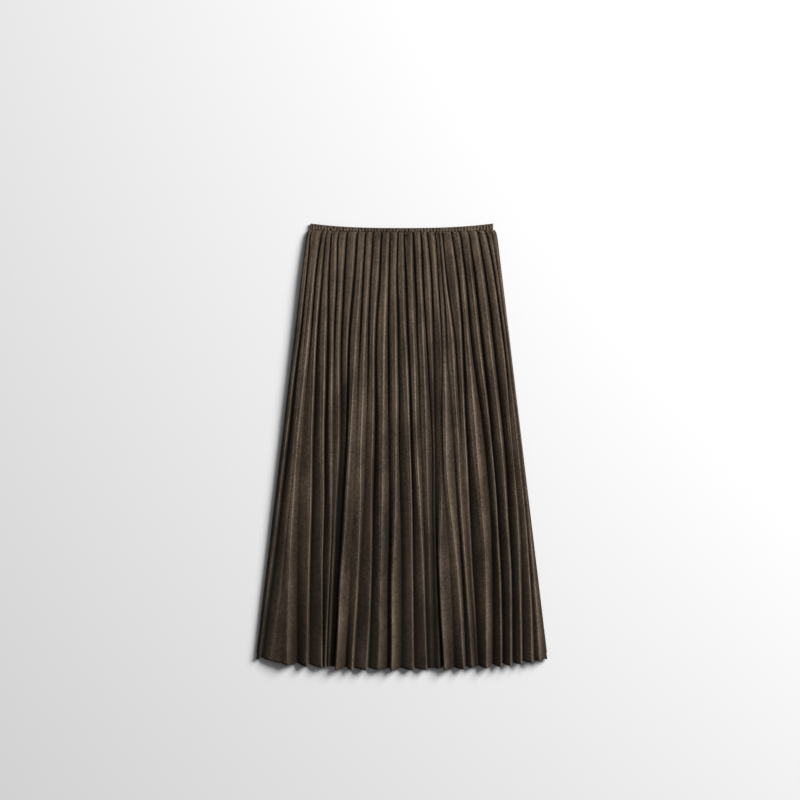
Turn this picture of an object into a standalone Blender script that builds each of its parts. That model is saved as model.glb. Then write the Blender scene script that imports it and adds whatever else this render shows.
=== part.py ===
"""A midi skirt in pleated suede cloth on a narrow elastic waistband.

It lies flat with its front up: X runs across, +Y towards the waist and +Z up, in metres.
Each mesh is modelled with y = 0 at the top corners of the waistband, and its object is then
placed so that the whole skirt is centred on the origin, on the floor at z = 0.
"""
import math
from typing import NamedTuple

import bmesh
import bpy

MM = 0.001

# Outline, laid flat
WAIST_WIDTH = 322 * MM
SEAM_WIDTH = 327 * MM
SHOULDER_WIDTH = 334 * MM
HEM_WIDTH = 512 * MM
BAND_HEIGHT = 11 * MM
SIDE_LENGTH = 751 * MM
TOP_SAG = 8 * MM
SEAM_SAG = 4 * MM
HEM_SAG = 20 * MM
SAG_POWER = 2.6
SHOULDER_DROP = 0.006

# Cloth and its layers
CLOTH = 1.1 * MM
SEAM_GAP = 0.3 * MM
LAYER_TOP_AT_SEAM = 4.2 * MM
LAYER_TOP = 6.8 * MM
LAYER_FULL_AT = 0.12
SIDE_SEAM_SHARE = 0.55

# Front pleats
FOLD_BED = 0.8 * MM
SLOT_HALF = 1.6 * MM
CREST_WIDTH = 2.4 * MM
CREST_TILT = 0.3
HEM_ZIGZAG = 5.5 * MM
HEM_ZIGZAG_FROM = 0.88
EDGE_TIP = 9 * MM

# Back pleats
BACK_PLEATS = 27
BACK_SWAY = 0.35
BACK_SLOT_HALF = 1.6 * MM
BACK_SHORTER = 0.008
SIDE_ROLL = 3 * MM

# Waistband
GATHERS_A_SIDE = 58
GATHER_DEPTH = 1.1 * MM
BAND_TOP = 8.2 * MM
BAND_TURN = 2.5 * MM
BAND_SLIT = 0.8 * MM
BAND_EDGE_ROLL = 1.6 * MM
BAND_EDGE_SHARE = 0.6

# Shares of the way from the waist seam (0) to the hem (1)
LEVELS = (0.01, 0.11, 0.24, 0.50, 0.76, 1.0)
CREST_STAGES = (0.08, 0.50, 0.76, 1.0)
STAGES = (0.08, 0.50, 1.0)
FRONT_ROWS = (0, 0.006, 0.02, 0.05, 0.12, 0.18, 0.24, 0.32, 0.41, 0.5, 0.59, 0.68, 0.76, 0.82, 0.88, 0.94, 1)
BACK_ROWS = (0, 0.006, 0.05, 0.12, 0.26, 0.42, 0.58, 0.76, 0.88, 1)


class Pleat(NamedTuple):
    """One pleat of the front, from the inner fold at its left to the next pleat's inner fold."""

    fold: tuple  # where the inner fold lies at each of LEVELS, in percent of the width
    crest: tuple  # how far across the pleat its crest is, at each of CREST_STAGES
    height: tuple = (1.0, 1.0, 1.0)  # share of the full pleat height, at each of STAGES
    depth: tuple = (1.0, 1.0, 1.0)  # how deep the inner fold goes; below 0 it rises past the lower pleat


FRONT_PLEATS = (
    Pleat((0.0, 0.0, 0.0, 0.0, 0.0, 0.0), (0.50, 0.50, 0.50, 0.50), (0.8, 0.6, 0.35)),
    Pleat((2.0, 2.6, 2.9, 2.6, 2.6, 1.8), (0.70, 0.80, 0.80, 0.43), (1.0, 0.9, 0.45)),
    Pleat((4.4, 4.6, 5.0, 5.6, 6.6, 8.4), (0.30, 0.12, 0.26, 0.40), depth=(0.0, 0.0, -0.5)),
    Pleat((7.6, 7.0, 7.6, 8.4, 11.0, 13.9), (0.50, 0.80, 0.85, 0.76), (1.0, 0.85, 0.95), (1.0, 0.35, 1.0)),
    Pleat((10.2, 10.2, 10.6, 13.2, 16.0, 18.0), (0.50, 0.78, 0.90, 0.88), (1.0, 0.9, 0.75)),
    Pleat((12.7, 13.6, 15.2, 18.3, 20.4, 22.9), (0.50, 0.66, 0.85, 0.60), (1.0, 0.95, 0.7), (1.0, 1.0, 0.6)),
    Pleat((16.5, 17.4, 18.4, 21.6, 23.2, 24.2), (0.40, 0.60, 0.40, 0.40), (1.0, 0.6, 0.3), (1.0, 0.2, 0.8)),
    Pleat((21.0, 21.2, 21.8, 24.3, 25.0, 25.5), (0.50, 0.70, 0.60, 0.60), (1.0, 0.28, 0.2)),
    Pleat((26.3, 26.1, 25.6, 26.6, 26.7, 26.8), (0.40, 0.28, 0.15, 0.12)),
    Pleat((30.8, 30.8, 30.4, 30.6, 31.0, 30.9), (0.40, 0.45, 0.76, 0.70), (1.0, 1.0, 0.95), (1.0, 0.1, 0.9)),
    Pleat((34.8, 34.4, 34.3, 34.9, 34.3, 33.8), (0.50, 0.60, 0.84, 0.83), (0.9, 0.7, 0.85), (1.0, 0.4, 0.8)),
    Pleat((39.3, 38.8, 38.1, 38.9, 38.9, 38.5), (0.40, 0.42, 0.46, 0.46), (1.0, 0.9, 0.75)),
    Pleat((43.6, 43.3, 43.3, 44.6, 45.3, 45.5), (0.60, 0.60, 0.26, 0.20), depth=(1.0, 0.7, 0.9)),
    Pleat((47.8, 47.6, 47.9, 48.9, 49.8, 49.8), (0.30, 0.86, 0.86, 0.88), (1.0, 0.8, 0.75)),
    Pleat((51.3, 52.0, 52.8, 53.8, 54.2, 54.3), (0.30, 0.50, 0.80, 0.90), (1.0, 0.85, 0.7)),
    Pleat((55.8, 56.6, 57.1, 57.9, 58.6, 58.7), (0.50, 0.35, 0.50, 0.50), (1.0, 0.6, 0.15), (1.0, 0.3, 1.0)),
    Pleat((60.0, 60.8, 61.6, 62.3, 61.7, 61.3), (0.40, 0.50, 0.50, 0.50), (1.0, 0.2, 0.38), (1.0, 1.0, 0.5)),
    Pleat((63.4, 64.9, 64.8, 63.8, 63.2, 64.1), (0.50, 0.85, 0.12, 0.15), (0.8, 0.55, 1.0), (1.0, 0.6, 1.0)),
    Pleat((67.8, 68.2, 68.6, 67.0, 67.9, 68.2), (0.60, 0.12, 0.55, 0.76), (0.6, 1.0, 0.95), (1.0, -0.3, 0.9)),
    Pleat((69.8, 70.2, 70.6, 71.3, 72.1, 72.3), (0.50, 0.50, 0.50, 0.60), (1.0, 0.9, 0.55), (0.05, 0.4, 1.0)),
    Pleat((71.2, 72.3, 74.2, 74.6, 75.0, 75.4), (0.50, 0.60, 0.60, 0.50), (1.0, 0.9, 0.18), (1.0, 0.15, 0.3)),
    Pleat((76.4, 77.8, 78.2, 77.2, 76.5, 76.4), (0.40, 0.40, 0.60, 0.55)),
    Pleat((80.8, 81.7, 82.0, 84.4, 84.0, 81.2), (0.40, 0.80, 0.78, 0.80), (1.0, 0.85, 1.0), (1.0, 0.8, 1.0)),
    Pleat((85.4, 86.4, 86.9, 87.6, 87.1, 84.6), (0.40, 0.67, 0.80, 0.76)),
    Pleat((90.2, 91.5, 92.4, 92.5, 91.0, 88.0), (0.50, 0.88, 0.76, 0.80)),
    Pleat((94.6, 96.4, 96.9, 96.1, 94.7, 91.3), (0.50, 0.60, 0.85, 0.76), depth=(1.0, 0.25, 1.0)),
    Pleat((97.2, 98.1, 98.6, 98.8, 97.9, 95.7), (0.40, 0.50, 0.40, 0.40), (0.9, 0.8, 0.8), (0.3, 0.1, 0.6)),
)

# How high the pleats stand and how square they are, from the waist seam to the hem
PLEAT_HEIGHT = ((0.0, 3.2 * MM), (0.006, 4.6 * MM), (0.05, 7.0 * MM), (0.18, 9.0 * MM), (1.0, 11.0 * MM))
FULLNESS = ((0.0, 0.95), (0.15, 0.88), (0.3, 0.6), (0.5, 0.3), (0.75, 0.12), (1.0, 0.05))


def mix(a, b, share):
    return a + (b - a) * share


def smooth(share):
    share = min(max(share, 0.0), 1.0)
    return share * share * (3 - 2 * share)


def between(knots, values, at):
    """A smooth curve through values, which stand at knots."""
    if at <= knots[0]:
        return values[0]
    if at >= knots[-1]:
        return values[-1]
    i = max(k for k in range(len(knots) - 1) if knots[k] <= at)

    def slope(k):
        lower, upper = max(k - 1, 0), min(k + 1, len(knots) - 1)
        return (values[upper] - values[lower]) / (knots[upper] - knots[lower])

    step = knots[i + 1] - knots[i]
    s = (at - knots[i]) / step
    return (
        values[i] * (1 + 2 * s) * (1 - s) ** 2
        + values[i + 1] * s * s * (3 - 2 * s)
        + step * (slope(i) * s * (1 - s) ** 2 - slope(i + 1) * s * s * (1 - s))
    )


def straight(pairs, at):
    """Straight lines through pairs of (place, value)."""
    for (a, low), (b, high) in zip(pairs, pairs[1:]):
        if at <= b:
            return mix(low, high, max(0.0, (at - a) / (b - a)))
    return pairs[-1][1]


def half_width(v):
    """Half the panels' width: an even flare, drawn in just below the waist seam."""
    drawn_in = (SHOULDER_WIDTH - SEAM_WIDTH) / 2
    return mix(SHOULDER_WIDTH, HEM_WIDTH, v) / 2 - drawn_in * math.exp(-v / SHOULDER_DROP)


def sag(x, half):
    """0 at the side edges and 1 in the middle, along an even curve."""
    return 1 - min(1.0, abs(x) / half) ** SAG_POWER


def down(x, v):
    """How far a point of a panel is below the waistband's top corners."""
    dip = mix(SEAM_SAG, HEM_SAG, v) * sag(x, half_width(v))
    return BAND_HEIGHT + v * SIDE_LENGTH + dip


def layer_top(v):
    """Height of the back layer, on which the front lies."""
    return straight(((0.0, LAYER_TOP_AT_SEAM), (LAYER_FULL_AT, LAYER_TOP), (1.0, LAYER_TOP)), v)


def side_seam(v):
    return SIDE_SEAM_SHARE * layer_top(v)


def offset_inwards(points, thickness):
    """The cloth's inner face: each point of the section moved by the thickness, mitred at the folds."""
    normals = []
    for (x0, z0), (x1, z1) in zip(points, points[1:]):
        length = math.hypot(x1 - x0, z1 - z0)
        normals.append((-(z1 - z0) / length, (x1 - x0) / length))
    inner = []
    for i, (x, z) in enumerate(points):
        before = normals[max(i - 1, 0)]
        after = normals[min(i, len(normals) - 1)]
        share = thickness / (1 + before[0] * after[0] + before[1] * after[1])
        inner.append([x - share * (before[0] + after[0]), z - share * (before[1] + after[1])])
    return inner


def front_section(v):
    """The front's outer line across the skirt at v, as (x, z), with the height of each point."""
    half = half_width(v)
    base = layer_top(v) + CLOTH
    full = straight(PLEAT_HEIGHT, v)
    fullness = straight(FULLNESS, v)
    folds = [mix(-half, half, between(LEVELS, p.fold, v) / 100) for p in FRONT_PLEATS] + [half]
    heights = [full * between(STAGES, p.height, v) for p in FRONT_PLEATS]
    floors = [
        (1 - between(STAGES, p.depth, v)) * min(heights[max(i - 1, 0)], heights[i])
        for i, p in enumerate(FRONT_PLEATS)
    ]
    line = [(-half, side_seam(v) + SEAM_GAP / 2), (-half, base + heights[0] / 4)]
    for i, p in enumerate(FRONT_PLEATS):
        left, right = folds[i], folds[i + 1]
        pitch = right - left
        slot = min(SLOT_HALF, pitch / 4)
        ridge = left + pitch * between(CREST_STAGES, p.crest, v)
        near = max(left + slot, mix(ridge - CREST_WIDTH / 2, left + slot, fullness))
        far = max(near + CREST_WIDTH, mix(ridge + CREST_WIDTH / 2, right - slot, fullness))
        far = min(far, right - slot)
        near = min(near, far - min(CREST_WIDTH, pitch / 3))
        if i > 0:
            line.append((left + FOLD_BED / 2, base + floors[i]))
        for x in (near, far):
            line.append((x, base + heights[i] * (1 - CREST_TILT * abs(x - ridge) / pitch)))
        if i + 1 < len(FRONT_PLEATS):
            line.append((right - FOLD_BED / 2, base + floors[i + 1]))
    line += [(half, base + heights[-1] / 4), (half, side_seam(v) + SEAM_GAP / 2)]
    return line, base, full


def back_section(v):
    """The back's outer line at v, from right to left, so that its outer side faces the floor."""
    half = half_width(v)
    peak = layer_top(v) - SEAM_GAP - CLOTH
    pitch = (2 * half - 2 * SIDE_ROLL) / BACK_PLEATS
    seam = side_seam(v) - SEAM_GAP / 2
    line = [(half, seam), (half, seam / 2), (half - SIDE_ROLL, 0.0)]
    for i in range(1, BACK_PLEATS):
        sway = BACK_SWAY * math.sin(2.3 * i) * math.sin(math.pi * v) * (abs(i - BACK_PLEATS / 2) > 1)
        x = half - SIDE_ROLL - (i - sway) * pitch
        line += [
            (x + BACK_SLOT_HALF, 0.0),
            (x + FOLD_BED / 2, peak),
            (x - FOLD_BED / 2, peak),
            (x - BACK_SLOT_HALF, 0.0),
        ]
    line += [(-half + SIDE_ROLL, 0.0), (-half, seam / 2), (-half, seam)]
    return line


def wall_mesh(name, sections, depths):
    """A closed wall through sections of (outer, inner) lines; depths says how far down each point lies."""
    bm = bmesh.new()
    rings = []
    for (outer, inner), row in zip(sections, depths):
        ring = [bm.verts.new((x, -d, z)) for (x, z), d in zip(outer, row)]
        ring += [bm.verts.new((x, -d, z)) for (x, z), d in zip(reversed(inner), reversed(row))]
        rings.append(ring)
    count = len(rings[0])
    for ring, following in zip(rings, rings[1:]):
        for i in range(count):
            j = (i + 1) % count
            bm.faces.new((ring[i], following[i], following[j], ring[j]))
    span = count // 2
    for ring in (rings[0], rings[-1]):
        for i in range(span - 1):
            bm.faces.new((ring[i], ring[i + 1], ring[count - 2 - i], ring[count - 1 - i]))
    return finish_mesh(name, bm)


def finish_mesh(name, bm):
    bmesh.ops.recalc_face_normals(bm, faces=bm.faces)
    bmesh.ops.triangulate(bm, faces=bm.faces)
    mesh = bpy.data.meshes.new(name)
    bm.to_mesh(mesh)
    bm.free()
    mesh.shade_smooth()
    mesh.set_sharp_from_angle(angle=math.radians(35))
    return mesh


def untangle(outer, inner):
    """Where a crest is too narrow for its inner side, the two inner points meet instead of crossing."""
    least = 0.08 * MM
    for i in range(len(inner) - 1):
        along = (outer[i + 1][0] - outer[i][0], outer[i + 1][1] - outer[i][1])
        length = math.hypot(*along)
        unit = (along[0] / length, along[1] / length)
        step = (inner[i + 1][0] - inner[i][0], inner[i + 1][1] - inner[i][1])
        if step[0] * unit[0] + step[1] * unit[1] < least:
            middle = [(inner[i][k] + inner[i + 1][k]) / 2 for k in (0, 1)]
            inner[i] = [middle[k] - unit[k] * least / 2 for k in (0, 1)]
            inner[i + 1] = [middle[k] + unit[k] * least / 2 for k in (0, 1)]
    return inner


def hem_reach(v, x, lift):
    """How far a point reaches past the inner folds at the hem: fully at the crests and the side edges."""
    edge = max(0.0, 1 - (half_width(v) - abs(x)) / EDGE_TIP)
    share = smooth((v - HEM_ZIGZAG_FROM) / (1 - HEM_ZIGZAG_FROM))
    return HEM_ZIGZAG * share * min(1.0, max(lift, edge))


def front_panel():
    sections, depths = [], []
    for v in FRONT_ROWS:
        outer, base, full = front_section(v)
        sections.append((outer, untangle(outer, offset_inwards(outer, CLOTH))))
        depths.append([down(x, v) + hem_reach(v, x, (z - base) / full) for x, z in outer])
    return wall_mesh("front_panel", sections, depths)


def back_panel():
    sections, depths = [], []
    for v in BACK_ROWS:
        outer = back_section(v)
        sections.append((outer, offset_inwards(outer, CLOTH)))
        depths.append([down(x, v * (1 - BACK_SHORTER)) for x, _ in outer])
    return wall_mesh("back_panel", sections, depths)


def band_ring():
    """Outer and inner points round the flattened waistband, clockwise from its front left."""
    straight_half = WAIST_WIDTH / 2 - BAND_TURN
    middle = LAYER_TOP_AT_SEAM - SEAM_GAP
    steps = 2 * GATHERS_A_SIDE
    outer, inner = [], []
    for side in (1, -1):
        for i in range(steps + 1):
            x = side * mix(-straight_half, straight_half, i / steps)
            uneven = 0.75 + 0.25 * math.sin(1.7 * i + side)
            dip = GATHER_DEPTH * uneven * (i % 2)
            outer.append((x, BAND_TOP - dip if side > 0 else dip))
            inner.append((x, middle + side * BAND_SLIT / 2))
        for turn in (45, 90, 135):
            across = side * math.sin(math.radians(turn))
            up = side * math.cos(math.radians(turn))
            end = side * straight_half
            outer.append((end + BAND_TURN * across, BAND_TOP / 2 * (1 + up)))
            inner.append((end + BAND_SLIT / 2 * across, middle + BAND_SLIT / 2 * up))
    return outer, inner


def waistband():
    outer, inner = band_ring()
    rolled = [(xo, mix(zi, zo, BAND_EDGE_SHARE)) for (xo, zo), (_, zi) in zip(outer, inner)]

    def top(x):
        return TOP_SAG * sag(x, WAIST_WIDTH / 2)

    def seam(x):
        return BAND_HEIGHT + SEAM_SAG * sag(x, SEAM_WIDTH / 2) - SEAM_GAP

    loops = [
        (outer, seam),
        (outer, lambda x: top(x) + BAND_EDGE_ROLL),
        (rolled, top),
        (inner, top),
        (inner, seam),
    ]
    bm = bmesh.new()
    rings = [[bm.verts.new((x, -depth(x), z)) for x, z in ring] for ring, depth in loops]
    for ring, following in zip(rings, rings[1:] + rings[:1]):
        for i in range(len(ring)):
            j = (i + 1) % len(ring)
            bm.faces.new((ring[i], ring[j], following[j], following[i]))
    return finish_mesh("waistband", bm)


def cloth_material(name, colour, roughness):
    material = bpy.data.materials.new(name)
    material.use_nodes = True
    shader = material.node_tree.nodes["Principled BSDF"]
    shader.inputs["Base Color"].default_value = (*colour, 1.0)
    shader.inputs["Roughness"].default_value = roughness
    shader.inputs["Metallic"].default_value = 0.0
    return material


def place(mesh, material, centre):
    piece = bpy.data.objects.new(mesh.name, mesh)
    bpy.context.scene.collection.objects.link(piece)
    piece.data.materials.append(material)
    piece.location = (0.0, centre, 0.0)
    return piece


def build():
    for old in list(bpy.data.objects):
        bpy.data.objects.remove(old)
    meshes = [front_panel(), back_panel(), waistband()]
    lowest = min(v.co.y for mesh in meshes for v in mesh.vertices)
    centre = -lowest / 2
    suede = cloth_material("pleated_suede", (0.105, 0.078, 0.058), 0.9)
    casing = cloth_material("gathered_casing", (0.085, 0.064, 0.049), 0.92)
    for mesh in meshes:
        place(mesh, casing if mesh.name == "waistband" else suede, centre)


build()
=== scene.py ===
"""The looks of the pleated midi skirt: fine shells of its front, back and waistband in suede cloth.

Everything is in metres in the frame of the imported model: X across, +Y towards the waist, +Z up.
"""
import math
from typing import NamedTuple

import bmesh
import bpy
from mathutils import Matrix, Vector, noise


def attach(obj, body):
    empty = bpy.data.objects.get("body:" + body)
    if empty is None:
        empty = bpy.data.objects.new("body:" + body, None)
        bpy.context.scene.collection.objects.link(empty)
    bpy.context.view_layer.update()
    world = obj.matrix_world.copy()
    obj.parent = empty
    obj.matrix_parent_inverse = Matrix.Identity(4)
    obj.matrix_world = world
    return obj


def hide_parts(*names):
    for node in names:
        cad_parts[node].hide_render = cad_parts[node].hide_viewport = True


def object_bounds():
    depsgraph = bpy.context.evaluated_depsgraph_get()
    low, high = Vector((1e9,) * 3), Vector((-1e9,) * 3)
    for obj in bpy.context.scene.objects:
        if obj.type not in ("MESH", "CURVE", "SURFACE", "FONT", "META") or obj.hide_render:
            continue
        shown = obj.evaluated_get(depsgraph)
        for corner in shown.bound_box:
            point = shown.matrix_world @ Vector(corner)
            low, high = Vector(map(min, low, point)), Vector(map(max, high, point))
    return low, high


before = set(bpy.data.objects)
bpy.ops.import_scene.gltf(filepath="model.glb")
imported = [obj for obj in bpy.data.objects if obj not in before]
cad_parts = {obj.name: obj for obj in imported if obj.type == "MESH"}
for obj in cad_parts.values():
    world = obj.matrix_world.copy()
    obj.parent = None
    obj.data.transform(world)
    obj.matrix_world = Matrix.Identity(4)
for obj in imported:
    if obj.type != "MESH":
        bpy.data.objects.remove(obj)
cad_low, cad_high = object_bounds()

MM = 0.001

# Outline, laid flat, as in the part's source
WAIST_WIDTH = 322 * MM
SEAM_WIDTH = 327 * MM
SHOULDER_WIDTH = 334 * MM
HEM_WIDTH = 512 * MM
BAND_HEIGHT = 11 * MM
SIDE_LENGTH = 751 * MM
TOP_SAG = 8 * MM
SEAM_SAG = 4 * MM
HEM_SAG = 20 * MM
SAG_POWER = 2.6
SHOULDER_DROP = 0.006

# Cloth and its layers
CLOTH = 0.9 * MM
LAYER_TOP_AT_SEAM = 4.2 * MM
LAYER_TOP = 6.8 * MM
LAYER_FULL_AT = 0.12
SIDE_SEAM_SHARE = 0.55
SEAM_GAP = 0.3 * MM

# Front pleats
SLOT_HALF = ((0.0, 3.4 * MM), (0.012, 2.7 * MM), (0.1, 2.4 * MM), (0.4, 1.6 * MM), (1.0, 1.3 * MM))
CREST_WIDTH = 1.6 * MM
CREST_TILT = 0.3
HEM_ZIGZAG = 5.5 * MM
HEM_ZIGZAG_FROM = 0.88
EDGE_TIP = 9 * MM
CREST_ROUND = ((0.0, 3.0 * MM), (0.15, 2.2 * MM), (0.35, 1.2 * MM), (0.6, 0.8 * MM), (1.0, 0.7 * MM))
FOLD_ROUND = 0.7 * MM
SHOULDER_ROUND = 1.6 * MM
SIDE_ROUND = 2.5 * MM
SIDE_EDGE_LIFT = 0.25  # how far up the first and last pleat the side edges reach
CORNER_SHARE = 0.45  # the most of a straight that one rounded corner takes
HEAD_ROUND_UNTIL = 0.006
HEAD_UNTIL = 0.012

# Back pleats
BACK_PLEATS = 27
BACK_SWAY = 0.35
BACK_SLOT_HALF = 1.6 * MM
BACK_SIDE_ROUND = 1.5 * MM
BACK_CREST_ROUND = 1.2 * MM
BACK_FOLD_ROUND = 0.5 * MM
BACK_SHORTER = 0.008
SIDE_ROLL = 3 * MM

# Waistband
GATHERS_A_SIDE = 58
GATHER_DEPTH = 1.9 * MM
GATHER_WEAR_AND_HIGHLIGHT = 0.8  # how worn the gathers' tops are, with a painted highlight on them
BAND_TOP = 8.2 * MM
BAND_TURN = 2.5 * MM
BAND_SLIT = 0.8 * MM
BAND_ROLL_FROM = 0.85
BAND_EDGE_SHARE = 0.35
GATHER_SHIFT = 0.18
GATHER_UNEVEN = 0.3

# How finely the cloth is divided
FRONT_ROWS = 60
BACK_ROWS = 46
RUN_STEPS = 2
ARC_STEPS = {"edge": 2, "fold": 3, "shoulder": 2, "crest": 3}
BACK_ARC_STEPS = 3
INNER_ROUND = 0.6
STEPS_A_GATHER = 6
TURN_STEPS = 8

# Picture: a pixel's size on the cloth, and where the picture's middle lies, in pixels from the origin
PIXEL = 1.76 * MM
PICTURE_SIDE = 800
PICTURE_MIDDLE = (-1.75, 47)
CAMERA_HEIGHT = 4.5
SHOWN_HEIGHT = 9 * MM
SENSOR = 36
FLOOR_HALF = 6.0
FLOOR_LEVEL = -0.2 * MM

# Shares of the way from the waist seam (0) to the hem (1)
LEVELS = (0.01, 0.11, 0.24, 0.50, 0.76, 1.0)
CREST_STAGES = (0.08, 0.50, 0.76, 1.0)
STAGES = (0.08, 0.50, 1.0)


class Pleat(NamedTuple):
    """One pleat of the front, from the inner fold at its left to the next pleat's inner fold."""

    fold: tuple  # where the inner fold lies at each of LEVELS, in percent of the width
    crest: tuple  # how far across the pleat its crest is, at each of CREST_STAGES
    height: tuple = (1.0, 1.0, 1.0)  # share of the full pleat height, at each of STAGES
    depth: tuple = (1.0, 1.0, 1.0)  # how deep the inner fold goes; below 0 it rises past the lower pleat


FRONT_PLEATS = (
    Pleat((0.0, 0.0, 0.0, 0.0, 0.0, 0.0), (0.50, 0.50, 0.50, 0.50), (0.8, 0.6, 0.35)),
    Pleat((2.0, 2.6, 2.9, 2.6, 2.6, 1.8), (0.70, 0.80, 0.80, 0.43), (1.0, 0.9, 0.45)),
    Pleat((4.4, 4.6, 5.0, 5.6, 6.6, 8.4), (0.30, 0.12, 0.26, 0.40), depth=(0.0, 0.0, -0.5)),
    Pleat((7.6, 7.0, 7.6, 8.4, 11.0, 13.9), (0.50, 0.80, 0.85, 0.76), (1.0, 0.85, 0.95), (1.0, 0.35, 1.0)),
    Pleat((10.2, 10.2, 10.6, 13.2, 16.0, 18.0), (0.50, 0.78, 0.90, 0.88), (1.0, 0.9, 0.75)),
    Pleat((12.7, 13.6, 15.2, 18.3, 20.4, 22.9), (0.50, 0.66, 0.85, 0.60), (1.0, 0.95, 0.7), (1.0, 1.0, 0.6)),
    Pleat((16.5, 17.4, 18.4, 21.6, 23.2, 24.2), (0.40, 0.60, 0.40, 0.40), (1.0, 0.6, 0.3), (1.0, 0.2, 0.8)),
    Pleat((21.0, 21.2, 21.8, 24.3, 25.0, 25.5), (0.50, 0.70, 0.60, 0.60), (1.0, 0.28, 0.2)),
    Pleat((26.3, 26.1, 25.6, 26.6, 26.7, 26.8), (0.40, 0.28, 0.15, 0.12)),
    Pleat((30.8, 30.8, 30.4, 30.6, 31.0, 30.9), (0.40, 0.45, 0.76, 0.70), (1.0, 1.0, 0.95), (1.0, 0.1, 0.9)),
    Pleat((34.8, 34.4, 34.3, 34.9, 34.3, 33.8), (0.50, 0.60, 0.84, 0.83), (0.9, 0.7, 0.85), (1.0, 0.4, 0.8)),
    Pleat((39.3, 38.8, 38.1, 38.9, 38.9, 38.5), (0.40, 0.42, 0.46, 0.46), (1.0, 0.9, 0.75)),
    Pleat((43.6, 43.3, 43.3, 44.6, 45.3, 45.5), (0.60, 0.60, 0.26, 0.20), depth=(1.0, 0.7, 0.9)),
    Pleat((47.8, 47.6, 47.9, 48.9, 49.8, 49.8), (0.30, 0.86, 0.86, 0.88), (1.0, 0.8, 0.75)),
    Pleat((51.3, 52.0, 52.8, 53.8, 54.2, 54.3), (0.30, 0.50, 0.80, 0.90), (1.0, 0.85, 0.7)),
    Pleat((55.8, 56.6, 57.1, 57.9, 58.6, 58.7), (0.50, 0.35, 0.50, 0.50), (1.0, 0.6, 0.15), (1.0, 0.3, 1.0)),
    Pleat((60.0, 60.8, 61.6, 62.3, 61.7, 61.3), (0.40, 0.50, 0.50, 0.50), (1.0, 0.2, 0.38), (1.0, 1.0, 0.5)),
    Pleat((63.4, 64.9, 64.8, 63.8, 63.2, 64.1), (0.50, 0.85, 0.12, 0.15), (0.8, 0.55, 1.0), (1.0, 0.6, 1.0)),
    Pleat((67.8, 68.2, 68.6, 67.0, 67.9, 68.2), (0.60, 0.12, 0.55, 0.76), (0.6, 1.0, 0.95), (1.0, -0.3, 0.9)),
    Pleat((69.8, 70.2, 70.6, 71.3, 72.1, 72.3), (0.50, 0.50, 0.50, 0.60), (1.0, 0.9, 0.55), (0.05, 0.4, 1.0)),
    Pleat((71.2, 72.3, 74.2, 74.6, 75.0, 75.4), (0.50, 0.60, 0.60, 0.50), (1.0, 0.9, 0.18), (1.0, 0.15, 0.3)),
    Pleat((76.4, 77.8, 78.2, 77.2, 76.5, 76.4), (0.40, 0.40, 0.60, 0.55)),
    Pleat((80.8, 81.7, 82.0, 84.4, 84.0, 81.2), (0.40, 0.80, 0.78, 0.80), (1.0, 0.85, 1.0), (1.0, 0.8, 1.0)),
    Pleat((85.4, 86.4, 86.9, 87.6, 87.1, 84.6), (0.40, 0.67, 0.80, 0.76)),
    Pleat((90.2, 91.5, 92.4, 92.5, 91.0, 88.0), (0.50, 0.88, 0.76, 0.80)),
    Pleat((94.6, 96.4, 96.9, 96.1, 94.7, 91.3), (0.50, 0.60, 0.85, 0.76), depth=(1.0, 0.25, 1.0)),
    Pleat((97.2, 98.1, 98.6, 98.8, 97.9, 95.7), (0.40, 0.50, 0.40, 0.40), (0.9, 0.8, 0.8), (0.3, 0.1, 0.6)),
)

# How high the pleats stand and how square they are, from the waist seam to the hem
PLEAT_HEIGHT = ((0.0, 3.2 * MM), (0.006, 4.9 * MM), (0.05, 7.0 * MM), (0.18, 9.0 * MM), (1.0, 11.0 * MM))
FULLNESS = ((0.0, 0.9), (0.02, 0.7), (0.15, 0.55), (0.3, 0.42), (0.5, 0.2), (0.75, 0.08), (1.0, 0.0))

# How high up the pleat its faces start beside the narrow fold
SHOULDER = ((0.0, 0.6), (0.03, 0.6), (0.25, 0.45), (0.5, 0.2), (0.75, 0.05), (1.0, 0.0))

# Colours of the nap: brushed either way, worn and with a painted highlight on the crests, and painted shade
# deep inside the folds
DARK_NAP = (0.0217, 0.0148, 0.0094)
LIGHT_NAP = (0.0995, 0.0702, 0.0484)
CASING_NAP = (0.128, 0.0905, 0.0630)
# wear with a painted highlight: the pale colour of the crests' rims
WORN_AND_HIGHLIGHT_NAP = (0.245, 0.186, 0.139)
# painted shade: the dark colour put into the folds' hollows
FOLD_SHADE_NAP = (0.009, 0.0065, 0.0041)

# Small unevenness that pressing leaves
HEIGHT_WAVE = 0.10
SLOT_UNEVEN = 0.55
SWAY = 0.9 * MM
SWAY_FULL_AT = 0.1
FACE_BULGE = 1.0 * MM
FULL_BULGE_OVER = 12 * MM
TOP_BULGE = 2.3  # how many times rounder the pleats' tops are at the waist than at the hem
TOP_BULGE_UNTIL = 0.36
LEFT_EDGE_WEAR_AND_HIGHLIGHT = 0.25  # how strong the wear and painted highlight are on a crest's left edge beside its right one, which faces the light
CREASE = 0.55 * MM
CREASE_PITCH = 5.0 * MM
PUCKER = 1.5 * MM
PUCKER_PITCH = 2.8 * MM
SEAM_WAVE = 0.5 * MM


def mix(a, b, share):
    return a + (b - a) * share


def smooth(share):
    share = min(max(share, 0.0), 1.0)
    return share * share * (3 - 2 * share)


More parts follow.
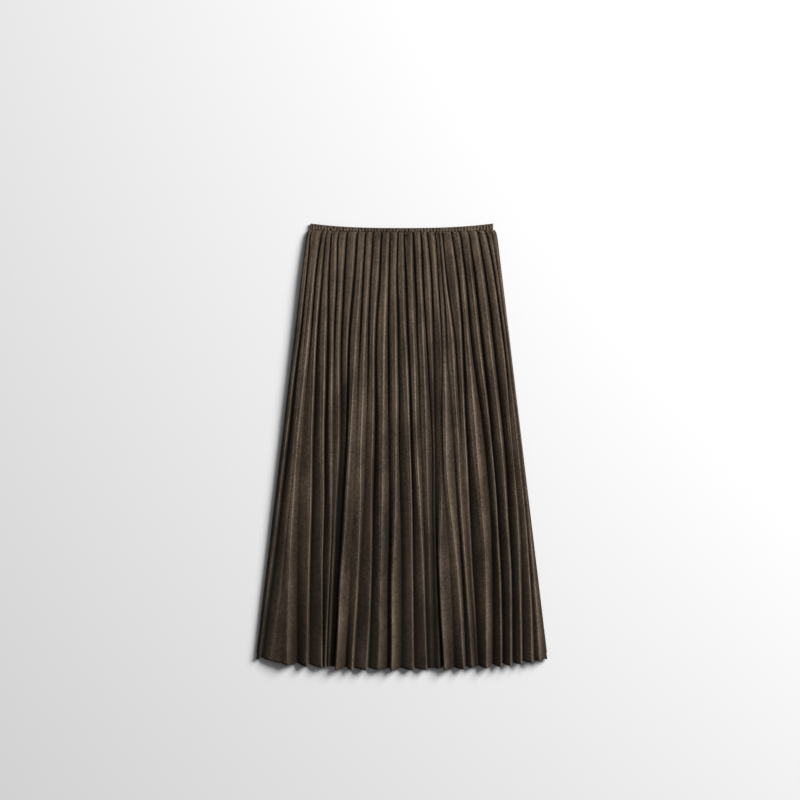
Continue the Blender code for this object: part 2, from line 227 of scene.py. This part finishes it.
def between(knots, values, at):
    """A smooth curve through values, which stand at knots."""
    if at <= knots[0]:
        return values[0]
    if at >= knots[-1]:
        return values[-1]
    i = max(k for k in range(len(knots) - 1) if knots[k] <= at)

    def slope(k):
        lower, upper = max(k - 1, 0), min(k + 1, len(knots) - 1)
        return (values[upper] - values[lower]) / (knots[upper] - knots[lower])

    step = knots[i + 1] - knots[i]
    s = (at - knots[i]) / step
    return (
        values[i] * (1 + 2 * s) * (1 - s) ** 2
        + values[i + 1] * s * s * (3 - 2 * s)
        + step * (slope(i) * s * (1 - s) ** 2 - slope(i + 1) * s * s * (1 - s))
    )


def straight(pairs, at):
    """Straight lines through pairs of (place, value)."""
    for (a, low), (b, high) in zip(pairs, pairs[1:]):
        if at <= b:
            return mix(low, high, max(0.0, (at - a) / (b - a)))
    return pairs[-1][1]


def wave(*place):
    """Smooth unevenness between about -1 and 1."""
    return 2 * noise.noise(Vector(place), noise_basis="PERLIN_ORIGINAL")


def half_width(v):
    drawn_in = (SHOULDER_WIDTH - SEAM_WIDTH) / 2
    return mix(SHOULDER_WIDTH, HEM_WIDTH, v) / 2 - drawn_in * math.exp(-v / SHOULDER_DROP)


def sag(x, half):
    return 1 - min(1.0, abs(x) / half) ** SAG_POWER


def down(x, v):
    dip = mix(SEAM_SAG, HEM_SAG, v) * sag(x, half_width(v))
    return BAND_HEIGHT + v * SIDE_LENGTH + dip


def layer_top(v):
    return straight(((0.0, LAYER_TOP_AT_SEAM), (LAYER_FULL_AT, LAYER_TOP), (1.0, LAYER_TOP)), v)


def side_seam(v):
    return SIDE_SEAM_SHARE * layer_top(v)


def move_in(points, thickness):
    """The cloth's inner face: each point moved by the thickness, mitred at the folds."""
    normals = []
    for (x0, z0), (x1, z1) in zip(points, points[1:]):
        length = math.hypot(x1 - x0, z1 - z0)
        normals.append((-(z1 - z0) / length, (x1 - x0) / length))
    inner = []
    for i, (x, z) in enumerate(points):
        before = normals[max(i - 1, 0)]
        after = normals[min(i, len(normals) - 1)]
        share = thickness / (1 + before[0] * after[0] + before[1] * after[1])
        inner.append([x - share * (before[0] + after[0]), z - share * (before[1] + after[1])])
    least = 0.06 * MM
    for i in range(len(inner) - 1):
        along = (points[i + 1][0] - points[i][0], points[i + 1][1] - points[i][1])
        length = math.hypot(*along)
        unit = (along[0] / length, along[1] / length)
        step = (inner[i + 1][0] - inner[i][0], inner[i + 1][1] - inner[i][1])
        if step[0] * unit[0] + step[1] * unit[1] < least:
            middle = [(inner[i][k] + inner[i + 1][k]) / 2 for k in (0, 1)]
            inner[i] = [middle[k] - unit[k] * least / 2 for k in (0, 1)]
            inner[i + 1] = [middle[k] + unit[k] * least / 2 for k in (0, 1)]
    return inner


def rounded(corners, radii, arcs, bulge):
    """Rounds the corners of an open line, with arcs steps round each, and swells its straights by bulge."""
    count = len(corners)
    spans = [math.dist(a, b) for a, b in zip(corners, corners[1:])]
    cut = []
    for i in range(count):
        near = min(spans[max(i - 1, 0)], spans[min(i, count - 2)])
        cut.append(min(radii[i], CORNER_SHARE * near))
    line = [tuple(corners[0])]
    for i in range(1, count):
        (x0, z0), (x1, z1) = corners[i - 1], corners[i]
        ux, uz = (x1 - x0) / spans[i - 1], (z1 - z0) / spans[i - 1]
        start = cut[i - 1] if i > 1 else 0.0
        end = cut[i] if i < count - 1 else 0.0
        length = spans[i - 1] - start - end
        swell = bulge[i - 1] * min(1.0, length / FULL_BULGE_OVER)
        for k in range(1, RUN_STEPS + 1):
            s = k / RUN_STEPS
            out = swell * math.sin(math.pi * s)
            along = start + length * s
            line.append((x0 + ux * along - uz * out, z0 + uz * along + ux * out))
        if i < count - 1:
            x2, z2 = corners[i + 1]
            vx, vz = (x2 - x1) / spans[i], (z2 - z1) / spans[i]
            for k in range(1, arcs[i] + 1):
                s = k / arcs[i]
                a, b = (1 - s) ** 2 * cut[i], s**2 * cut[i]
                line.append((x1 - ux * a + vx * b, z1 - uz * a + vz * b))
    return line


def front_corners(v):
    """Corners of the front's outer line across the skirt at v, with how round each is."""
    half = half_width(v)
    base = layer_top(v) + CLOTH
    head = math.sqrt(max(0.0, 1 - (1 - min(1.0, v / HEAD_ROUND_UNTIL)) ** 2))
    full = straight(PLEAT_HEIGHT, v)
    full = mix(full, mix(PLEAT_HEIGHT[0][1], PLEAT_HEIGHT[1][1], head), 1 - smooth(v / HEAD_UNTIL))
    fullness = straight(FULLNESS, v)
    calm = smooth(v / SWAY_FULL_AT)
    folds = []
    for i, p in enumerate(FRONT_PLEATS):
        sway = SWAY * calm * wave(3.1 * i, 6.0 * v, 0.5) * (i > 0)
        folds.append(mix(-half, half, between(LEVELS, p.fold, v) / 100) + sway)
    folds.append(half)
    heights = []
    for i, p in enumerate(FRONT_PLEATS):
        uneven = 1 + HEIGHT_WAVE * wave(1.7 * i, 5.0 * v, 4.5)
        heights.append(full * between(STAGES, p.height, v) * min(uneven, 1.0))
    floors = []
    for i, p in enumerate(FRONT_PLEATS):
        lower = min(heights[max(i - 1, 0)], heights[i])
        floors.append((1 - between(STAGES, p.depth, v)) * lower)
    line = [(-half, side_seam(v) + SEAM_GAP / 2), (-half, base + SIDE_EDGE_LIFT * heights[0])]
    radii = [0.0, SIDE_ROUND]
    kinds = ["edge", "edge"]
    crest_round = straight(CREST_ROUND, v)
    shoulder = straight(SHOULDER, v)
    for i, p in enumerate(FRONT_PLEATS):
        left, right = folds[i], folds[i + 1]
        pitch = right - left
        slot = min(straight(SLOT_HALF, v) * (1 + SLOT_UNEVEN * wave(2.3 * i, 7.0 * v, 1.5)), pitch / 4)
        ridge = left + pitch * between(CREST_STAGES, p.crest, v)
        near = max(left + slot, mix(ridge - CREST_WIDTH / 2, left + slot, fullness))
        far = max(near + CREST_WIDTH, mix(ridge + CREST_WIDTH / 2, right - slot, fullness))
        far = min(far, right - slot)
        near = min(near, far - min(CREST_WIDTH, pitch / 3))
        tops = [(x, heights[i] * (1 - CREST_TILT * abs(x - ridge) / pitch)) for x in (near, far)]
        if i > 0:
            line.append((left, base + floors[i]))
            line.append(beside_fold(left, floors[i], *tops[0], slot, shoulder, base))
            radii += [FOLD_ROUND, SHOULDER_ROUND]
            kinds += ["fold", "shoulder"]
        line += [(x, base + z) for x, z in tops]
        radii += [crest_round, crest_round]
        kinds += ["crest", "crest"]
        if i + 1 < len(FRONT_PLEATS):
            line.append(beside_fold(right, floors[i + 1], *tops[1], slot, shoulder, base))
            radii.append(SHOULDER_ROUND)
            kinds.append("shoulder")
    line += [(half, base + SIDE_EDGE_LIFT * heights[-1]), (half, side_seam(v) + SEAM_GAP / 2)]
    radii += [SIDE_ROUND, 0.0]
    kinds += ["edge", "edge"]
    return line, radii, kinds, base, full


def beside_fold(fold, floor, crest_x, crest_z, slot, shoulder, base):
    """The corner beside a narrow fold, where the pleat's face begins."""
    run = crest_x - fold
    share = min(slot / abs(run), CORNER_SHARE)
    lift = share + (1 - share) * shoulder
    return (fold + run * share, base + mix(floor, crest_z, lift))


def back_corners(v):
    """Corners of the back's outer line at v, from right to left, so that its outer side faces the floor."""
    half = half_width(v)
    peak = layer_top(v) - SEAM_GAP - CLOTH
    pitch = (2 * half - 2 * SIDE_ROLL) / BACK_PLEATS
    seam = side_seam(v) - SEAM_GAP / 2
    line = [(half, seam), (half, seam / 2), (half - SIDE_ROLL, 0.0)]
    radii = [0.0, BACK_SIDE_ROUND, BACK_SIDE_ROUND]
    for i in range(1, BACK_PLEATS):
        sway = BACK_SWAY * math.sin(2.3 * i) * math.sin(math.pi * v) * (abs(i - BACK_PLEATS / 2) > 1)
        x = half - SIDE_ROLL - (i - sway) * pitch
        line += [(x + BACK_SLOT_HALF, 0.0), (x, peak), (x - BACK_SLOT_HALF, 0.0)]
        radii += [BACK_CREST_ROUND, BACK_FOLD_ROUND, BACK_CREST_ROUND]
    line += [(-half + SIDE_ROLL, 0.0), (-half, seam / 2), (-half, seam)]
    radii += [BACK_SIDE_ROUND, BACK_SIDE_ROUND, 0.0]
    return line, radii


def mark(mesh, name, values):
    """Gives each point of a mesh a value of its own, for its cloth's colour."""
    marks = mesh.attributes.new(name, "FLOAT", "POINT")
    marks.data.foreach_set("value", values)


def wall(name, sections, widths, stations, wear_and_highlight_marks, lifts):
    """A closed thin wall through sections of (outer, inner) points, with its cloth's own flat coordinates."""
    mesh = bpy.data.meshes.new(name)
    span = len(sections[0][0])
    points = [p for outer, inner in sections for p in (*outer, *reversed(inner))]
    around = 2 * span
    faces = []
    for r in range(len(sections) - 1):
        a, b = r * around, (r + 1) * around
        for i in range(around):
            j = (i + 1) % around
            faces.append((a + i, b + i, b + j, a + j))
    last = (len(sections) - 1) * around
    for i in range(span - 1):
        faces.append((i, i + 1, around - 2 - i, around - 1 - i))
        faces.append((last + around - 1 - i, last + around - 2 - i, last + i + 1, last + i))
    mesh.from_pydata(points, [], faces)
    mesh.shade_smooth()
    flat = mesh.uv_layers.new(name="cloth")
    for loop in mesh.loops:
        row, place = divmod(loop.vertex_index, around)
        column = place if place < span else around - 1 - place
        flat.data[loop.index].uv = (widths[column], stations[row] * SIDE_LENGTH)
    mark(mesh, "crest_wear_and_highlight", [c for _ in sections for c in (*wear_and_highlight_marks, *reversed(wear_and_highlight_marks))])
    mark(mesh, "lift", [c for row in lifts for c in (*row, *reversed(row))])
    return outward(mesh)


def outward(mesh):
    bm = bmesh.new()
    bm.from_mesh(mesh)
    bmesh.ops.recalc_face_normals(bm, faces=bm.faces)
    bm.to_mesh(mesh)
    bm.free()
    piece = bpy.data.objects.new(mesh.name, mesh)
    bpy.context.scene.collection.objects.link(piece)
    return piece


def rows(count):
    """Places down a panel, closer together at the waist seam and the hem."""
    even = [i / count for i in range(count + 1)]
    top = (0.0007, 0.0015, 0.003, 0.005, 0.0075)
    return sorted({*even, *top, 0.02, 0.03, 0.985, 0.995})


def creases(across, v):
    """Soft upright creases between the pressed folds, strongest below the waistband, where they pucker."""
    strength = mix(1.0, 0.45, smooth(v / 0.3)) * smooth(v / 0.005)
    pucker = PUCKER * smooth(v / 0.003) * (1 - smooth((v - 0.006) / 0.03))
    soft = CREASE * strength * wave(across / CREASE_PITCH, 5.0 * v, 9.0)
    return soft + pucker * wave(across / PUCKER_PITCH, 12.0 * v, 3.0)


def across_cloth(line):
    """How far along the cloth's own width each point of a section is."""
    run = [0.0]
    for a, b in zip(line, line[1:]):
        run.append(run[-1] + math.dist(a, b))
    return run


def hem_reach(v, x, lift):
    """How far a point reaches past the inner folds at the hem: fully at the crests and at the side edges."""
    edge = max(0.0, 1 - (half_width(v) - abs(x)) / EDGE_TIP)
    share = smooth((v - HEM_ZIGZAG_FROM) / (1 - HEM_ZIGZAG_FROM))
    return HEM_ZIGZAG * share * min(1.0, max(lift, edge))


def front_shell(centre):
    sections = []
    lifts = []
    stations = rows(FRONT_ROWS)
    for v in stations:
        corners, radii, kinds, base, full = front_corners(v)
        arcs = [ARC_STEPS[kind] for kind in kinds]
        inner_corners = move_in(corners, CLOTH)
        for corner, inside, kind in zip(corners, inner_corners, kinds):
            if kind == "fold":
                inside[1] = max(inside[1], corner[1] - CLOTH)
        round_top = mix(TOP_BULGE, 1.0, smooth(v / TOP_BULGE_UNTIL))
        bulge = []
        for i, ends in enumerate(zip(kinds, kinds[1:])):
            rounder = round_top if ends == ("crest", "crest") else 1.0
            bulge.append(FACE_BULGE * rounder * (1 + 0.6 * wave(0.9 * i, 4.0 * v, 2.2)))
        outer = rounded(corners, radii, arcs, bulge)
        inner = rounded(inner_corners, [INNER_ROUND * r for r in radii], arcs, bulge)
        cloth = across_cloth(outer)
        # each point's share of the pleat's height, which puts painted shade into the low places
        lifts.append([max(0.0, (z - base) / full) for _, z in outer])
        ring = []
        for line in (outer, inner):
            side = []
            for (x, z), (xo, _), run, lift in zip(line, outer, cloth, lifts[-1]):
                uneven = SEAM_WAVE * (1 + wave(xo / PUCKER_PITCH, 1.0, 0.0)) * (1 - smooth(v / 0.01))
                y = centre - down(xo, v) - hem_reach(v, xo, lift) - uneven
                side.append((x, y, z + creases(run, v) * smooth(2 * lift)))
            ring.append(side)
        sections.append(ring)
    middle = across_cloth(sections[len(sections) // 2][0])
    # wear with a painted highlight along the crests, full on each crest's right edge, which faces the key
    # light
    wear_and_highlight_marks = [0.0]
    for before, kind, arc in zip(kinds, kinds[1:], arcs[1:]):
        wear_and_highlight = (kind == "crest") * (1.0 if before == "crest" else LEFT_EDGE_WEAR_AND_HIGHLIGHT)
        wear_and_highlight_marks += [0.0] * RUN_STEPS + [wear_and_highlight * math.sin(math.pi * (k - 0.5) / arc) for k in range(1, arc + 1)]
    return wall("front_shell", sections, middle, stations, wear_and_highlight_marks[: len(middle)], lifts)


def back_shell(centre):
    sections = []
    lifts = []
    stations = rows(BACK_ROWS)
    for v in stations:
        corners, radii = back_corners(v)
        inner_corners = [(x, min(z, layer_top(v) - SEAM_GAP)) for x, z in move_in(corners, CLOTH)]
        flat = [0.0] * (len(corners) - 1)
        arcs = [BACK_ARC_STEPS] * len(corners)
        outer = rounded(corners, radii, arcs, flat)
        inner = rounded(inner_corners, [INNER_ROUND * r for r in radii], arcs, flat)
        ends = [centre - down(x, v * (1 - BACK_SHORTER)) for x, _ in outer]
        sections.append([[(x, y, z) for (x, z), y in zip(line, ends)] for line in (outer, inner)])
        # painted shade: the back's folds darken as they rise from the floor into the layer above
        lifts.append([1 - min(1.0, z / layer_top(v)) for _, z in outer])
    middle = across_cloth(sections[len(sections) // 2][0])
    return wall("back_shell", sections, middle, stations, [0.0] * len(middle), lifts)


class Station(NamedTuple):
    """A place round the waistband's casing."""

    x: float
    side: int  # 1 on the front, -1 on the back
    gather: float = 0.0  # how many gathers it is along its side
    turned: float | None = None  # how far round the casing's end it is, from 0 to 1


def band_shell(centre):
    """The gathered casing of the waistband: a flattened ring with a rounded, puckered top edge."""
    straight_half = WAIST_WIDTH / 2 - BAND_TURN
    middle = LAYER_TOP_AT_SEAM - SEAM_GAP
    steps = STEPS_A_GATHER * GATHERS_A_SIDE
    stations = []
    for side in (1, -1):
        for i in range(steps):
            x = side * mix(-straight_half, straight_half, i / steps)
            stations.append(Station(x, side, gather=i / STEPS_A_GATHER))
        for k in range(TURN_STEPS):
            stations.append(Station(side * straight_half, side, turned=k / TURN_STEPS))
    rings = []
    outer = (0.0, 0.03, 0.1, 0.22, 0.36, 0.5, 0.64, 0.78, 0.88, 0.95, 0.985, 1.0)
    inner = (0.985, 0.9, 0.6, 0.3, 0.0)
    for inside, ups in ((0.0, outer), (1.0, inner)):
        for up in ups:
            rings.append([band_point(s, up, middle, straight_half, inside, centre) for s in stations])
    mesh = bpy.data.meshes.new("waistband_shell")
    around = len(stations)
    points = [p for ring in rings for p in ring]
    faces = []
    for r in range(len(rings)):
        a, b = r * around, (r + 1) % len(rings) * around
        for i in range(around):
            j = (i + 1) % around
            faces.append((a + i, a + j, b + j, b + i))
    mesh.from_pydata(points, [], faces)
    mesh.shade_smooth()
    flat = mesh.uv_layers.new(name="cloth")
    for loop in mesh.loops:
        ring, place = divmod(loop.vertex_index, around)
        up = (*outer, *inner)[ring]
        flat.data[loop.index].uv = (2 * WAIST_WIDTH * place / around, up * BAND_HEIGHT)
    # painted shade in the gathers' hollows, and wear with a painted highlight on their tops
    lifts = [max(0.0, 1 - min(z, BAND_TOP - z) / GATHER_DEPTH) for _, _, z in points]
    mark(mesh, "lift", lifts)
    mark(mesh, "crest_wear_and_highlight", [GATHER_WEAR_AND_HIGHLIGHT * lift**3 for lift in lifts])
    return outward(mesh)


def band_point(station, up, middle, straight_half, inside, centre):
    """A point of the casing: up runs from the seam (0) to the top edge (1)."""
    side = station.side
    if station.turned is not None:
        turn = math.pi * station.turned
        across, lift = math.sin(turn), side * math.cos(turn)
        x_end = side * (straight_half + mix(BAND_TURN, BAND_SLIT / 2, inside) * across)
        z_out = BAND_TOP / 2 * (1 + lift)
        z_in = middle + BAND_SLIT / 2 * lift
    else:
        x_end = station.x
        number = math.floor(station.gather)
        phase = station.gather - number + GATHER_SHIFT * wave(number * 0.7, side, 3 * up)
        uneven = 1 - GATHER_UNEVEN + GATHER_UNEVEN * wave(1.3 * station.gather, 2.0 * side, 2.5 * up)
        dip = GATHER_DEPTH * uneven * (0.5 + 0.5 * math.cos(2 * math.pi * phase)) ** 0.8
        z_out = BAND_TOP - dip if side > 0 else dip
        z_in = middle + side * BAND_SLIT / 2
    roll = math.sqrt(max(0.0, 1 - max(0.0, (up - BAND_ROLL_FROM) / (1 - BAND_ROLL_FROM)) ** 2))
    z_edge = mix(z_in, z_out, BAND_EDGE_SHARE)
    z = mix(z_in, mix(z_edge, z_out, roll), 1 - inside)
    top = TOP_SAG * sag(x_end, WAIST_WIDTH / 2)
    seam = BAND_HEIGHT + SEAM_SAG * sag(x_end, SEAM_WIDTH / 2) - SEAM_GAP
    return (x_end, centre - mix(seam, top, up), z)


def noise_node(tree, position, scale, detail, roughness=0.55):
    made = tree.nodes.new("ShaderNodeTexNoise")
    made.inputs["Scale"].default_value = scale
    made.inputs["Detail"].default_value = detail
    made.inputs["Roughness"].default_value = roughness
    tree.links.new(position, made.inputs["Vector"])
    return made.outputs["Fac"]


def stretched(tree, position, factors):
    made = tree.nodes.new("ShaderNodeMapping")
    made.inputs["Scale"].default_value = factors
    tree.links.new(position, made.inputs["Vector"])
    return made.outputs["Vector"]


def ramp(tree, value, low, high, dark, light):
    made = tree.nodes.new("ShaderNodeMapRange")
    made.inputs["From Min"].default_value = low
    made.inputs["From Max"].default_value = high
    made.inputs["To Min"].default_value = dark
    made.inputs["To Max"].default_value = light
    tree.links.new(value, made.inputs["Value"])
    return made.outputs["Result"]


def maths(tree, operation, a, b):
    made = tree.nodes.new("ShaderNodeMath")
    made.operation = operation
    for socket, value in zip(made.inputs, (a, b)):
        if isinstance(value, (int, float)):
            socket.default_value = value
        else:
            tree.links.new(value, socket)
    return made.outputs["Value"]


def suede_group():
    """Nap of the suede: a mottle that darkens the colour, with painted shade that darkens it towards the hem;
    a mark of wear with a painted highlight on the crests; a mask of painted shade in the folds; and a height
    for the bump.
    """
    group = bpy.data.node_groups.new("suede_nap", "ShaderNodeTree")
    group.interface.new_socket("MottleAndShade", in_out="OUTPUT", socket_type="NodeSocketFloat")
    group.interface.new_socket("CrestWearAndHighlight", in_out="OUTPUT", socket_type="NodeSocketFloat")
    group.interface.new_socket("OutsidePaintedShade", in_out="OUTPUT", socket_type="NodeSocketFloat")
    group.interface.new_socket("Height", in_out="OUTPUT", socket_type="NodeSocketFloat")
    places = group.nodes.new("ShaderNodeTexCoord")
    place, cloth = places.outputs["Object"], places.outputs["UV"]
    split = group.nodes.new("ShaderNodeSeparateXYZ")
    group.links.new(cloth, split.inputs["Vector"])
    below = split.outputs["Y"]
    patches = noise_node(group, stretched(group, place, (1.0, 0.45, 1.0)), 26, 3)
    blotches = noise_node(group, place, 190, 4, 0.65)
    wrinkles = noise_node(group, stretched(group, place, (1.0, 0.6, 1.0)), 480, 3, 0.6)
    nap = noise_node(group, stretched(group, place, (1.0, 0.35, 1.0)), 2400, 2)
    strands = noise_node(group, stretched(group, cloth, (1.0, 0.025, 1.0)), 300, 4)
    bands = noise_node(group, stretched(group, cloth, (1.0, 0.1, 1.0)), 48, 2)
    streaked = ramp(group, below, 0.0, 0.4, 1.0, 0.3)
    fibres = ramp(group, strands, 0.3, 0.7, -0.5, 0.5)
    mottle_and_shade = maths(group, "ADD", 1.0, maths(group, "MULTIPLY", fibres, streaked))
    # painted shade: the colour darkens from the waist towards the hem, where less light falls
    mottle_and_shade = maths(group, "MULTIPLY", mottle_and_shade, ramp(group, below, 0.0, 0.3, 1.06, 0.84))
    for part, low, high in (
        (patches, 0.75, 1.22),
        (blotches, 0.80, 1.20),
        (wrinkles, 0.76, 1.24),
        (nap, 0.80, 1.20),
        (bands, 0.80, 1.20),
    ):
        mottle_and_shade = maths(group, "MULTIPLY", mottle_and_shade, ramp(group, part, 0.3, 0.7, low, high))
    wear_and_highlight_marks = group.nodes.new("ShaderNodeAttribute")
    wear_and_highlight_marks.attribute_name = "crest_wear_and_highlight"
    # wear with a painted highlight on the crests, weaker at the waist and towards the hem
    wear_and_highlight = maths(group, "MULTIPLY", wear_and_highlight_marks.outputs["Fac"], ramp(group, wrinkles, 0.35, 0.65, 0.45, 1.0))
    wear_and_highlight = maths(group, "MULTIPLY", wear_and_highlight, ramp(group, patches, 0.4, 0.6, 0.55, 1.25))
    wear_and_highlight = maths(group, "MULTIPLY", wear_and_highlight, ramp(group, below, 0.04, 0.28, 0.5, 1.0))
    wear_and_highlight = maths(group, "MULTIPLY", wear_and_highlight, ramp(group, below, 0.4, 0.7, 1.0, 0.7))
    lifted = group.nodes.new("ShaderNodeAttribute")
    lifted.attribute_name = "lift"
    # painted shade: the colour darkens from the pleats' tops down into the folds
    outside_painted_shade = ramp(group, lifted.outputs["Fac"], 0.0, 0.8, 0.0, 1.0)
    gathered = ramp(group, below, 0.0, 0.28, 1.5, 0.15)
    height = maths(group, "MULTIPLY", strands, gathered)
    for part, share in ((blotches, 0.35), (wrinkles, 0.2), (nap, 0.12)):
        height = maths(group, "ADD", height, maths(group, "MULTIPLY", part, share))
    out = group.nodes.new("NodeGroupOutput")
    group.links.new(mottle_and_shade, out.inputs["MottleAndShade"])
    group.links.new(wear_and_highlight, out.inputs["CrestWearAndHighlight"])
    group.links.new(outside_painted_shade, out.inputs["OutsidePaintedShade"])
    group.links.new(height, out.inputs["Height"])
    return group


def suede(name, group, light_nap):
    """Brushed suede cloth, with its nap from the shared group."""
    material = bpy.data.materials.new(name)
    material.use_nodes = True
    tree = material.node_tree
    shader = tree.nodes["Principled BSDF"]
    nap = tree.nodes.new("ShaderNodeGroup")
    nap.node_tree = group
    colours = tree.nodes.new("ShaderNodeMix")
    colours.data_type = "RGBA"
    colours.inputs["A"].default_value = (*DARK_NAP, 1)
    colours.inputs["B"].default_value = (*light_nap, 1)
    tree.links.new(ramp(tree, nap.outputs["MottleAndShade"], 0.55, 1.45, 0.0, 1.0), colours.inputs["Factor"])
    # wear with a painted highlight: the crests' rims turn pale
    wear_and_highlight = tree.nodes.new("ShaderNodeMix")
    wear_and_highlight.data_type = "RGBA"
    wear_and_highlight.inputs["B"].default_value = (*WORN_AND_HIGHLIGHT_NAP, 1)
    tree.links.new(nap.outputs["CrestWearAndHighlight"], wear_and_highlight.inputs["Factor"])
    tree.links.new(colours.outputs["Result"], wear_and_highlight.inputs["A"])
    # painted shade: deep in the folds the colour turns to the dark fold colour
    painted_fold_shade = tree.nodes.new("ShaderNodeMix")
    painted_fold_shade.data_type = "RGBA"
    painted_fold_shade.inputs["A"].default_value = (*FOLD_SHADE_NAP, 1)
    tree.links.new(nap.outputs["OutsidePaintedShade"], painted_fold_shade.inputs["Factor"])
    tree.links.new(wear_and_highlight.outputs["Result"], painted_fold_shade.inputs["B"])
    tree.links.new(painted_fold_shade.outputs["Result"], shader.inputs["Base Color"])
    bump = tree.nodes.new("ShaderNodeBump")
    bump.inputs["Strength"].default_value = 1.0
    bump.inputs["Distance"].default_value = 0.001
    tree.links.new(nap.outputs["Height"], bump.inputs["Height"])
    tree.links.new(bump.outputs["Normal"], shader.inputs["Normal"])
    tree.links.new(ramp(tree, nap.outputs["MottleAndShade"], 0.6, 1.4, 0.95, 0.82), shader.inputs["Roughness"])
    shader.inputs["Specular IOR Level"].default_value = 0.12
    shader.inputs["Sheen Weight"].default_value = 0.12
    shader.inputs["Sheen Roughness"].default_value = 0.45
    shader.inputs["Sheen Tint"].default_value = (0.95, 0.80, 0.68, 1)
    return material


def dress(piece, material, node_name):
    piece.data.materials.append(material)
    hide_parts(node_name)
    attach(piece, "root")


def floor():
    mesh = bpy.data.meshes.new("floor")
    sides = ((-1, -1), (1, -1), (1, 1), (-1, 1))
    corners = [(FLOOR_HALF * x, FLOOR_HALF * y, FLOOR_LEVEL) for x, y in sides]
    mesh.from_pydata(corners, [], [(0, 1, 2, 3)])
    ground = bpy.data.objects.new("floor", mesh)
    bpy.context.scene.collection.objects.link(ground)
    material = bpy.data.materials.new("pale_floor")
    material.use_nodes = True
    shader = material.node_tree.nodes["Principled BSDF"]
    shader.inputs["Base Color"].default_value = (0.81, 0.81, 0.81, 1)
    shader.inputs["Roughness"].default_value = 0.9
    mesh.materials.append(material)


def area_light(name, place, target, size, power):
    data = bpy.data.lights.new(name, "AREA")
    data.shape = "RECTANGLE"
    data.size, data.size_y = size
    data.energy = power
    lamp = bpy.data.objects.new(name, data)
    lamp.location = place
    lamp.rotation_euler = (Vector(target) - Vector(place)).to_track_quat("-Z", "Y").to_euler()
    bpy.context.scene.collection.objects.link(lamp)


def studio():
    world = bpy.data.worlds.new("studio")
    world.use_nodes = True
    world.node_tree.nodes["Background"].inputs["Color"].default_value = (1, 1, 1, 1)
    world.node_tree.nodes["Background"].inputs["Strength"].default_value = 0.088
    bpy.context.scene.world = world
    bpy.context.scene.view_settings.view_transform = "Standard"
    area_light("key", (3.9, 2.97, 3.59), (0, 0.1, 0), (2.9, 2.9), 612)
    area_light("front", (0.3, 0.6, 3.6), (0, 0, 0), (2.0, 2.0), 9)


def camera():
    """Straight above, over 1.408 m of floor, as the photograph is framed."""
    data = bpy.data.cameras.new("camera")
    data.sensor_width = SENSOR
    data.lens = SENSOR * (CAMERA_HEIGHT - SHOWN_HEIGHT) / (PICTURE_SIDE * PIXEL)
    eye = bpy.data.objects.new("camera", data)
    right, up = PICTURE_MIDDLE
    eye.location = (right * PIXEL, up * PIXEL, CAMERA_HEIGHT)
    eye.rotation_euler = (0, 0, 0)
    bpy.context.scene.collection.objects.link(eye)
    bpy.context.scene.camera = eye


def build():
    centre = cad_high.y
    nap = suede_group()
    cloth = suede("suede_cloth", nap, LIGHT_NAP)
    casing = suede("suede_casing", nap, CASING_NAP)
    back = back_shell(centre)
    front = front_shell(centre)
    band = band_shell(centre)
    dress(back, cloth, "back_panel")
    dress(front, cloth, "front_panel")
    dress(band, casing, "waistband")
    floor()
    studio()
    camera()


build()
